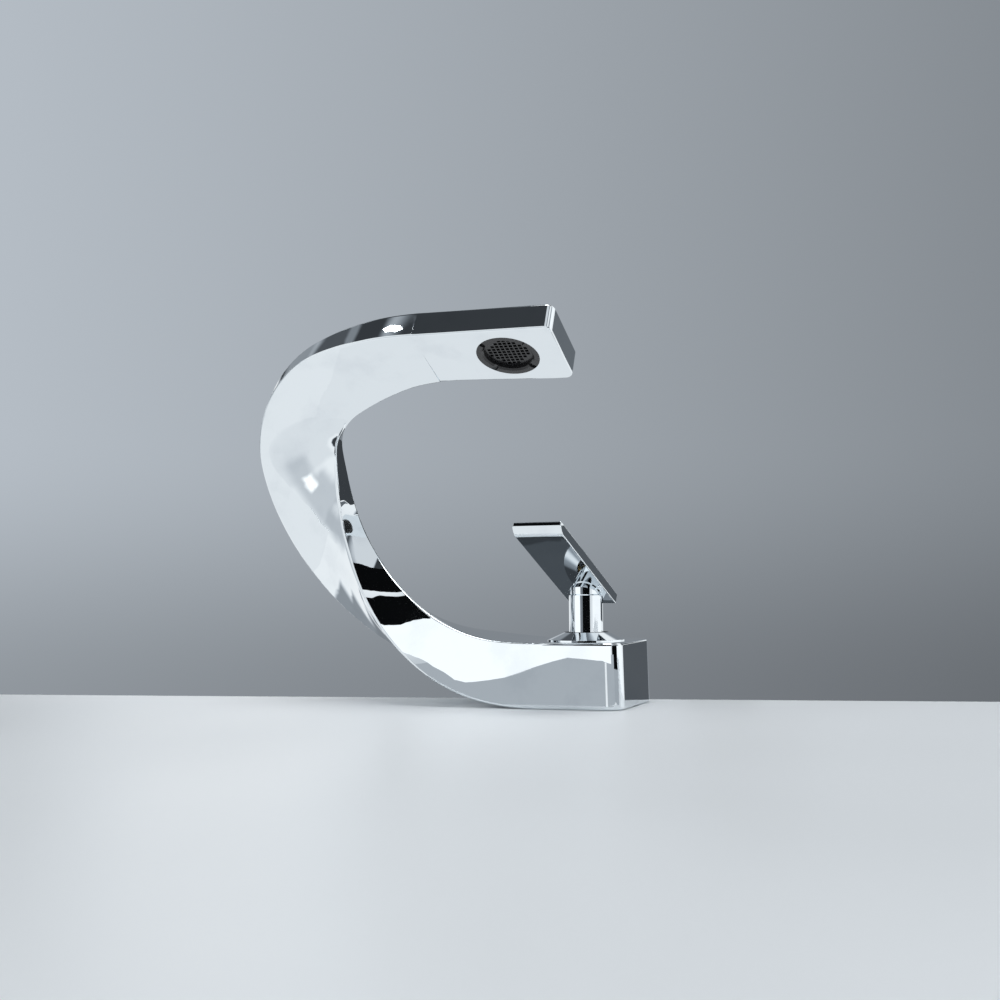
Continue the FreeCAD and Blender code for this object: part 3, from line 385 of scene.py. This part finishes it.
def brass(name):
    """Turned brass: rings left by the tool and a little tarnish."""
    material, tree, shader, place = new_material(name)
    stain = ease(tree, noise(tree, place, *BRASS_STAIN), BRASS_STAIN_RANGE, (0, 1))
    link(tree, mix_colours(tree, stain, BRASS_COLOUR, BRASS_TARNISH), shader.inputs["Base Color"])
    link(tree, remap(tree, stain, (0, 1), BRASS_ROUGHNESS), shader.inputs["Roughness"])
    rings = add(tree, "ShaderNodeTexWave",
                {"Vector": place, "Scale": WAVE_PERIOD / BRASS_RING_PITCH, "Distortion": BRASS_RING_WANDER,
                 "Detail": BRASS_RING_DETAIL},
                wave_type="RINGS", rings_direction="Z").outputs["Fac"]
    link(tree, bump(tree, rings, BRASS_RING_DEPTH), shader.inputs["Normal"])
    shader.inputs["Metallic"].default_value = 1
    return material


def steel(name):
    """Zinc plated steel: dull spangle and fine grain."""
    material, tree, shader, place = new_material(name)
    spangle = add(tree, "ShaderNodeTexVoronoi",
                  {"Vector": place, "Scale": 1 / STEEL_SPANGLE_CELL}).outputs["Color"]
    shade = add(tree, "ShaderNodeSeparateXYZ", {0: spangle}).outputs[0]
    link(tree, mix_colours(tree, shade, STEEL_COLOUR, STEEL_DULL), shader.inputs["Base Color"])
    link(tree, remap(tree, shade, (0, 1), STEEL_ROUGHNESS), shader.inputs["Roughness"])
    grain = noise(tree, place, *STEEL_GRAIN)
    link(tree, bump(tree, grain, STEEL_GRAIN_DEPTH), shader.inputs["Normal"])
    shader.inputs["Metallic"].default_value = 1
    return material


def rubber(name):
    """Black rubber: matt, with a grey bloom in patches and a fine skin."""
    material, tree, shader, place = new_material(name)
    bloom = ease(tree, noise(tree, place, *RUBBER_BLOOM), RUBBER_BLOOM_RANGE, (0, 1))
    link(tree, mix_colours(tree, bloom, RUBBER_COLOUR, RUBBER_BLOOM_COLOUR), shader.inputs["Base Color"])
    link(tree, remap(tree, bloom, (0, 1), RUBBER_ROUGHNESS), shader.inputs["Roughness"])
    grain = noise(tree, place, *RUBBER_GRAIN)
    link(tree, bump(tree, grain, RUBBER_GRAIN_DEPTH), shader.inputs["Normal"])
    return material


def plastic(name, shades, roughness):
    """Moulded plastic: faint flow marks and a fine tooled grain."""
    material, tree, shader, place = new_material(name)
    flow = noise(tree, place, *PLASTIC_FLOW)
    link(tree, mix_colours(tree, flow, *shades), shader.inputs["Base Color"])
    link(tree, remap(tree, flow, NOISE_RANGE, roughness), shader.inputs["Roughness"])
    grain = noise(tree, place, *PLASTIC_GRAIN)
    link(tree, bump(tree, grain, PLASTIC_GRAIN_DEPTH), shader.inputs["Normal"])
    return material


def ceramic(name):
    """Lapped alumina: off white, finely grained and half gloss."""
    material, tree, shader, place = new_material(name)
    grain = noise(tree, place, *CERAMIC_GRAIN)
    link(tree, mix_colours(tree, grain, CERAMIC_COLOUR, CERAMIC_GRAIN_COLOUR), shader.inputs["Base Color"])
    lap = noise(tree, place, *CERAMIC_LAP)
    link(tree, remap(tree, lap, NOISE_RANGE, CERAMIC_ROUGHNESS), shader.inputs["Roughness"])
    return material


def make_materials():
    """One material for each slot of the record."""
    return {
        "polished_chrome": chrome("polished_chrome"),
        "bare_brass": brass("bare_brass"),
        "plain_steel": steel("plain_steel"),
        "black_rubber": rubber("black_rubber"),
        "grey_plastic": plastic("grey_plastic", GREY_PLASTIC, GREY_PLASTIC_ROUGHNESS),
        "black_plastic": plastic("black_plastic", BLACK_PLASTIC, BLACK_PLASTIC_ROUGHNESS),
        "alumina": ceramic("alumina"),
    }


def dress_nodes(frame, materials):
    """Gives every node of the frame the material of its slot."""
    for part in frame["record"]["subparts"]:
        node = frame["nodes"][part["node"]]
        node.data.materials.clear()
        node.data.materials.append(materials[part["material_slot"]])


def thread_radius(outer, turn_share):
    """Radius of a thread at a share of its pitch."""
    crest = abs(2 * (turn_share % 1) - 1)
    return outer - THREAD_DEPTH * crest


def ringed_piece(name, rows, material):
    """A closed piece from rings of points, each joined to the next."""
    mesh = bmesh.new()
    rings = [[mesh.verts.new(point) for point in row] for row in rows]
    for lower, upper in zip(rings, rings[1:]):
        for side in range(len(lower)):
            after = (side + 1) % len(lower)
            mesh.faces.new((lower[side], lower[after], upper[after], upper[side]))
    mesh.faces.new(rings[0][::-1])
    mesh.faces.new(rings[-1])
    data = bpy.data.meshes.new(name)
    mesh.to_mesh(data)
    mesh.free()
    data.shade_smooth()
    data.set_sharp_from_angle(angle=SHARP_EDGE)
    data.materials.append(material)
    piece = bpy.data.objects.new(name, data)
    bpy.context.scene.collection.objects.link(piece)
    return piece


def make_thread(material):
    """The fixing stud with its thread, in place of the plain rod."""
    low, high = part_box("fixing_stud")
    outer = (high.x - low.x) / 2
    middle = (low + high) / 2
    length = high.z - low.z
    rings = round(length / THREAD_PITCH * THREAD_STEPS)
    rows = []
    for ring in range(rings + 1):
        rise = length * ring / rings
        inset = max(0, THREAD_RUN_OUT - min(rise, length - rise)) * THREAD_DEPTH / THREAD_RUN_OUT
        row = []
        for side in range(THREAD_SIDES):
            share = side / THREAD_SIDES
            radius = min(thread_radius(outer, rise / THREAD_PITCH - share), outer - inset)
            angle = 2 * math.pi * share
            row.append((middle.x + radius * math.cos(angle),
                        middle.y + radius * math.sin(angle), low.z + rise))
        rows.append(row)
    stud = ringed_piece("threaded_stud", rows, material)
    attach(stud, "tap")
    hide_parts("fixing_stud")


def make_plug(material):
    """The plug over the grub screw, with a face that follows the round of the stem."""
    stem_low, stem_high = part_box("handle_stem")
    stem_radius = (stem_high.x - stem_low.x) / 2
    low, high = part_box("screw_plug")
    middle = (low + high) / 2
    radius = (high.z - low.z) / 2
    outward = Vector((middle.x, middle.y, 0)).normalized()
    sideways = Vector((-outward.y, outward.x, 0))
    back = stem_radius - PLUG_DEPTH
    rows = []
    for share, sink in [(1, None), (1, PLUG_RIM)] + [(share, 0) for share in PLUG_FACE_SHARES]:
        row = []
        for side in range(PLUG_SIDES):
            angle = 2 * math.pi * side / PLUG_SIDES
            across = radius * share * math.cos(angle)
            rise = middle.z + radius * share * math.sin(angle)
            reach = back if sink is None else math.sqrt(stem_radius ** 2 - across ** 2) - sink
            row.append(outward * reach + sideways * across + Vector((0, 0, rise)))
        rows.append(row)
    plug = ringed_piece("flush_plug", rows, material)
    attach(plug, "lever")
    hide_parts("screw_plug")


def deck_material():
    """Plain pale glaze."""
    material, tree, shader, place = new_material("pale_glaze")
    patch = noise(tree, place, *DECK_PATCH)
    link(tree, mix_colours(tree, patch, DECK_COLOUR, DECK_SHADE), shader.inputs["Base Color"])
    link(tree, remap(tree, patch, NOISE_RANGE, DECK_ROUGHNESS), shader.inputs["Roughness"])
    return material


def add_outline(curve, points):
    """A closed run of straight lines."""
    spline = curve.splines.new("POLY")
    spline.points.add(len(points) - 1)
    for point, (x, y) in zip(spline.points, points):
        point.co = (x, y, 0, 1)
    spline.use_cyclic_u = True


def add_circle(curve, radius):
    """A closed circle of four curves."""
    spline = curve.splines.new("BEZIER")
    spline.bezier_points.add(CIRCLE_POINTS - 1)
    reach = radius * CIRCLE_HANDLE_SHARE
    for index, point in enumerate(spline.bezier_points):
        angle = 2 * math.pi * index / CIRCLE_POINTS
        spot = Vector((radius * math.cos(angle), radius * math.sin(angle), 0))
        along = Vector((-math.sin(angle), math.cos(angle), 0)) * reach
        point.co = spot
        point.handle_left = spot - along
        point.handle_right = spot + along
    spline.use_cyclic_u = True


def make_deck():
    thickness = -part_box("horseshoe_rubber")[1].z
    curve = bpy.data.curves.new("deck", "CURVE")
    curve.dimensions = "2D"
    curve.fill_mode = "BOTH"
    curve.resolution_u = DECK_HOLE_STEPS
    add_outline(curve, ((-DECK_HALF_WIDTH, -DECK_FRONT), (DECK_HALF_WIDTH, -DECK_FRONT),
                        (DECK_HALF_WIDTH, DECK_BACK), (-DECK_HALF_WIDTH, DECK_BACK)))
    gasket_low, gasket_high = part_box("base_gasket")
    add_circle(curve, (gasket_high.x - gasket_low.x) / 2 + DECK_HOLE_GAP)
    curve.extrude = thickness / 2 - DECK_EDGE
    curve.bevel_depth = DECK_EDGE
    curve.bevel_resolution = DECK_EDGE_STEPS
    curve.offset = -DECK_EDGE
    curve.materials.append(deck_material())
    deck = bpy.data.objects.new("deck", curve)
    deck.location.z = -thickness / 2
    deck.rotation_euler.z = DECK_TURN
    bpy.context.scene.collection.objects.link(deck)


def make_card(name, origin, heading, lean, level, outline, faces_up=False):
    """A card that shows in reflections alone, and only on the side to the tap's foot, or else on top."""
    turn = Matrix.Rotation(math.radians(heading), 3, "Z") @ Matrix.Rotation(-math.radians(lean), 3, "X")
    corners = [(Vector(origin) + turn @ Vector((reach, 0, rise))) * MM for reach, rise in outline]
    data = bpy.data.meshes.new(name)
    data.from_pydata(corners, [], [range(len(corners))])
    face = data.polygons[0]
    turned_away = face.normal.z < 0 if faces_up else face.normal.dot(face.center) > 0
    if turned_away:
        data.flip_normals()
    material = bpy.data.materials.new(name)
    material.use_nodes = True
    tree = material.node_tree
    tree.nodes.clear()
    paleness = min(1, level / ROOM_LEVEL)
    tint = [shade + (pale - shade) * paleness for shade, pale in zip(SHADE_TINT, ROOM_TINT)]
    shine = add(tree, "ShaderNodeEmission", {"Color": (*tint, 1), "Strength": level})
    clear = add(tree, "ShaderNodeBsdfTransparent")
    behind = add(tree, "ShaderNodeNewGeometry").outputs["Backfacing"]
    mix = add(tree, "ShaderNodeMixShader", {0: behind, 1: shine.outputs[0], 2: clear.outputs[0]})
    add(tree, "ShaderNodeOutputMaterial", {"Surface": mix.outputs[0]})
    data.materials.append(material)
    card = bpy.data.objects.new(name, data)
    card.visible_camera = False
    card.visible_diffuse = False
    card.visible_transmission = False
    card.visible_shadow = False
    bpy.context.scene.collection.objects.link(card)


with open("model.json") as file:
    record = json.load(file)
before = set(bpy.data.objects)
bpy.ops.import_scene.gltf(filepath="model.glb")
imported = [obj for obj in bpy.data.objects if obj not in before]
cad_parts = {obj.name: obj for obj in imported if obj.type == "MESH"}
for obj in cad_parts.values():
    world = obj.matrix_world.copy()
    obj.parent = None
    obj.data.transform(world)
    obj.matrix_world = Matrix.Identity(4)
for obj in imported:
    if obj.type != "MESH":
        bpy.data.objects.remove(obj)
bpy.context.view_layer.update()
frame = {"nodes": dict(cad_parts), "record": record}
bpy.context.scene.view_settings.view_transform = "Standard"
slot_materials = make_materials()
dress_nodes(frame, slot_materials)
make_thread(slot_materials["plain_steel"])
make_plug(slot_materials["polished_chrome"])
make_deck()
for card_name, card in CARDS.items():
    make_card(card_name, *card)
make_world()
make_camera()
